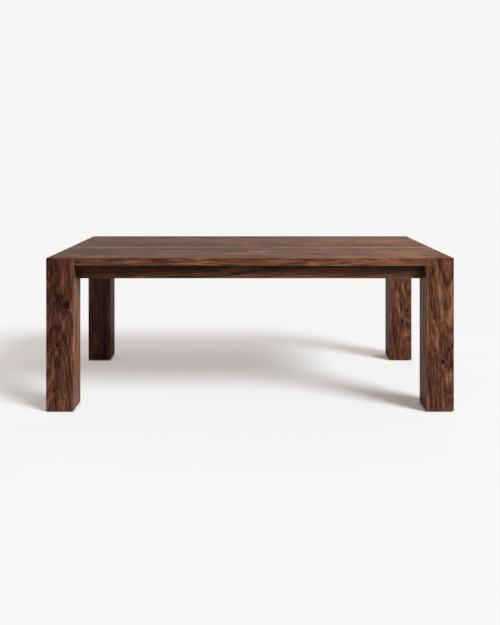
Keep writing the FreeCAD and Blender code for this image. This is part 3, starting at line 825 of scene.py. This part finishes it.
def screw_mesh(head_radius, head_height, shank_radius, length):
    """A pan-head wood screw with a cross recess. Its head stands on Z = 0, and its shank goes down."""
    r, h, s = head_radius, head_height, shank_radius
    head = [
        (0, h), (0.35 * r, 0.98 * h), (0.62 * r, 0.90 * h), (0.84 * r, 0.70 * h),
        (0.96 * r, 0.42 * h), (r, 0.16 * h), (0.98 * r, 0.0),
    ]
    shank = [(s, 0.0), (s, -0.80 * length), (0.3 * s, -length), (0, -length)]
    cutter = cross_cutter(RECESS_REACH * r, RECESS_WIDTH * r, RECESS_DEPTH * h, h)
    body = object_of("screw", turned([*head, *shank], SCREW_SEGMENTS))
    tool = object_of("cross", cutter)
    cut = body.modifiers.new("recess", "BOOLEAN")
    cut.operation = "DIFFERENCE"
    cut.use_self = True
    cut.object = tool
    round_off = body.modifiers.new("round off", "BEVEL")
    round_off.width = SCREW_EDGE
    round_off.segments = 2
    round_off.limit_method = "ANGLE"
    round_off.angle_limit = SHARP
    depsgraph = bpy.context.evaluated_depsgraph_get()
    made = bpy.data.meshes.new_from_object(body.evaluated_get(depsgraph))
    bpy.data.objects.remove(body)
    bpy.data.objects.remove(tool)
    return made


def screws(name, mesh, spots):
    """Copies of one screw, as one piece of the table, at (point, way out of the wood, turn)."""
    b = bmesh.new()
    for point, out, turn in spots:
        copy = mesh.copy()
        stand = Vector(out).to_track_quat("Z", "Y").to_matrix().to_4x4()
        spin = Matrix.Rotation(math.radians(turn), 4, "Z")
        copy.transform(Matrix.Translation(point) @ stand @ spin)
        b.from_mesh(copy)
        bpy.data.meshes.remove(copy)
    made = object_of(name, b)
    made.data.polygons.foreach_set("use_smooth", [True] * len(made.data.polygons))
    made.data.set_sharp_from_angle(angle=SHARP)
    cover(made, screw_steel)
    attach(made, "table")


def islands(object_):
    """The bounds of each separate solid in a node."""
    b = bmesh.new()
    b.from_mesh(object_.data)
    bmesh.ops.remove_doubles(b, verts=b.verts, dist=SAME_PLACE)
    left, found = set(b.verts), []
    while left:
        stack, seen = [left.pop()], []
        while stack:
            vertex = stack.pop()
            seen.append(vertex.co.copy())
            for edge in vertex.link_edges:
                other = edge.other_vert(vertex)
                if other in left:
                    left.remove(other)
                    stack.append(other)
        low = Vector(min(v[i] for v in seen) for i in range(3))
        high = Vector(max(v[i] for v in seen) for i in range(3))
        found.append((low, high))
    b.free()
    return sorted(found, key=lambda pair: tuple(pair[0]))


DOWN = (0, 0, -1)
RAIL_SCREWS_Y = (-0.34, -0.11, 0.11, 0.34)
# Where the screws of a corner block go, as parts of its back face's width and height.
BLOCK_SCREWS = ((0.13, 0.25), (0.13, 0.75), (0.87, 0.25), (0.87, 0.75))
# Points of a block this near to its innermost one are on its back face.
BACK_FACE_DEPTH = 1e-4
# Each screw is turned by some degrees more than the last, since real ones never stop at one angle.
BUTTON_TURN, RAIL_TURN, RAIL_FIRST_TURN, BLOCK_TURN = 37, 53, 11, 29
small, large = screw_mesh(*SMALL_SCREW), screw_mesh(*LARGE_SCREW)

button_spots = []
for index, (low, high) in enumerate(islands(buttons)):
    middle = (low + high) / 2
    button_spots.append(((middle.x, middle.y, low.z), DOWN, BUTTON_TURN * index))
screws("button_screws", small, button_spots)

rail_spots = []
for side in ("left", "right"):
    low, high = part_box("cross_rail_" + side)
    middle = (low + high) / 2
    for index, y in enumerate(RAIL_SCREWS_Y):
        turn = RAIL_FIRST_TURN + RAIL_TURN * index
        rail_spots.append(((middle.x, y, low.z), DOWN, turn))
screws("rail_screws", large, rail_spots)

block_spots = []
for corner, (east, north) in CORNERS.items():
    inward = Vector((-east, -north, 0)).normalized()
    sideways = Vector((inward.y, -inward.x, 0))
    points = [v.co for v in nodes["corner_block_" + corner].data.vertices]
    back = max(p.dot(inward) for p in points)
    rim = [p for p in points if p.dot(inward) > back - BACK_FACE_DEPTH]
    start, end = min(p.dot(sideways) for p in rim), max(p.dot(sideways) for p in rim)
    bottom, top = min(p.z for p in rim), max(p.z for p in rim)
    for index, (along, up) in enumerate(BLOCK_SCREWS):
        spot = inward * back + sideways * (start + (end - start) * along)
        spot.z = bottom + (top - bottom) * up
        block_spots.append((tuple(spot), tuple(inward), BLOCK_TURN * index))
screws("block_screws", small, block_spots)


# ---------------------------------------------------------------- floor, light and camera

FLOOR_RADIUS, FLOOR_SEGMENTS = 300, 96
# The floor's colour, and the glow that only the camera sees: near the table, far off, by the legs.
FLOOR_PALE = (0.482, 0.530, 0.546)
FLOOR_GLOW = (0.405, 0.362, 0.348)
FLOOR_FAR_PALE = (0.352, 0.403, 0.418)
FLOOR_FAR_GLOW = (0.530, 0.474, 0.456)
FLOOR_LEG_PALE = (0.680, 0.738, 0.750)
FLOOR_LEG_GLOW = (0.210, 0.160, 0.150)
# Round these places, at (x, y, reach, amount), the floor glows less, so a leg's shadow is deeper:
# fully so within a quarter of the reach.
DEEP_SHADOWS = [
    (LEG_X, -LEG_Y, 0.55, 1.00),
    (LEG_X - 0.08, LEG_Y - 0.02, 0.14, 1.00),
    (-LEG_X, -LEG_Y, 0.30, 0.40),
]
# The far floor gives way to the near one between these, coming from the north and from the west. The
# far floor is darker in colour but glows more, so the lit floor stays the same while the table's
# shadow there is painted lighter, towards the back and the left.
NEAR_FROM_NORTH = (0.98, 0.22)
NEAR_FROM_WEST = (-1.75, -0.75)
# The floor glows less where something is nearer to it than this reach, a painted contact shadow.
CONTACT_REACH = 0.014
CONTACT_CONTRAST = 1.5
CONTACT_SAMPLES = 12
# The sky rises from one light to the other between these, as its direction turns northwards.
SKY_RISE = (0.1, 1.0)
SKY_LIGHT, SKY_FAR_LIGHT = 0.26, 0.50
SKY_TINT = (1.00, 0.95, 0.91)
SKY_SEEN = (0.92, 0.92, 0.92)
SUN_TRAVEL = (-1.00, 0.72, -1.00)
SUN_WIDTH = 21
SUN_STRENGTH = 4.10
SIDE_PLACE = (4.5, -1.2, 1.7)
SIDE_AIM = (-0.4, 0.0, 0.4)
SIDE_SIZE = 1.8
SIDE_POWER = 40
CAMERA_PLACE = (0, -3.792, 1.216)
CAMERA_LENS = 38.68
CAMERA_SHIFT = -0.2375
CAMERA_REACH = 1000

disc = bmesh.new()
bmesh.ops.create_circle(disc, cap_ends=True, radius=FLOOR_RADIUS, segments=FLOOR_SEGMENTS)
floor = object_of("floor", disc)
s = material_graph("pale_floor")
east, north, _ = s.split(s.place())
near = s.math("MULTIPLY", s.step(north, *NEAR_FROM_NORTH), s.step(east, *NEAR_FROM_WEST))
pale = s.mix(near, rgb(*FLOOR_FAR_PALE), rgb(*FLOOR_PALE))
# the glow changes over a shorter way than the colour does
bright = s.mix(s.step(near, 0.0, 1.0), rgb(*FLOOR_FAR_GLOW), rgb(*FLOOR_GLOW))
for x, y, reach, amount in DEEP_SHADOWS:
    away = s.join(s.math("SUBTRACT", east, x), s.math("SUBTRACT", north, y), 0.0)
    deep = s.step(s.vector("LENGTH", away), reach, reach / 4, 0.0, amount)
    pale = s.mix(deep, pale, rgb(*FLOOR_LEG_PALE))
    bright = s.mix(deep, bright, rgb(*FLOOR_LEG_GLOW))
diffuse = s.node("ShaderNodeBsdfDiffuse", {}, {"Color": pale})
settings, inputs = {"samples": CONTACT_SAMPLES}, {"Distance": CONTACT_REACH}
open_floor = s.node("ShaderNodeAmbientOcclusion", settings, inputs, "AO")
strength = s.math("MULTIPLY", s.camera_ray(), s.math("POWER", open_floor, CONTACT_CONTRAST))
glow = s.node("ShaderNodeEmission", {}, {"Color": bright, "Strength": strength})
s.end_in(s.node("ShaderNodeAddShader", {}, {0: diffuse, 1: glow}))
s.owner.cycles.emission_sampling = "NONE"
cover(floor, s.owner)

# The sky is brighter behind the table than in front. The camera sees an even pale wall instead.
sky = Graph(bpy.data.worlds.new("studio"))
northward = sky.split(sky.node("ShaderNodeTexCoord", {}, {}, "Generated"))[1]
light = sky.step(northward, *SKY_RISE, SKY_LIGHT, SKY_FAR_LIGHT)
tinted = sky.mix(1.0, sky.join(light, light, light), rgb(*SKY_TINT), "MULTIPLY")
shown = sky.mix(sky.camera_ray(), tinted, rgb(*SKY_SEEN))
sky.end_in(sky.node("ShaderNodeBackground", {}, {"Color": shown}))
bpy.context.scene.world = sky.owner


def lamp(name, kind, travel, place=(0, 0, 0)):
    """A light that shines along travel."""
    made = new_object(name, bpy.data.lights.new(name, kind))
    made.location = place
    made.rotation_mode = "QUATERNION"
    made.rotation_quaternion = Vector(travel).to_track_quat("-Z", "Y")
    return made


key = lamp("key", "SUN", SUN_TRAVEL)
key.data.energy = SUN_STRENGTH
key.data.angle = math.radians(SUN_WIDTH)
side = lamp("side", "AREA", Vector(SIDE_AIM) - Vector(SIDE_PLACE), SIDE_PLACE)
side.data.shape = "DISK"
side.data.size = SIDE_SIZE
side.data.energy = SIDE_POWER
side.visible_camera = False
# the side light leaves the floor alone
receivers = bpy.data.collections.new("lit_from_the_side")
receivers.objects.link(floor)
receivers.collection_objects[0].light_linking.link_state = "EXCLUDE"
side.light_linking.receiver_collection = receivers

camera = new_object("camera", bpy.data.cameras.new("camera"))
camera.data.lens = CAMERA_LENS
camera.data.shift_y = CAMERA_SHIFT
camera.data.clip_end = CAMERA_REACH
camera.location = CAMERA_PLACE
camera.rotation_euler = (math.radians(90), 0, 0)
bpy.context.scene.camera = camera
bpy.context.scene.view_settings.view_transform = "Standard"
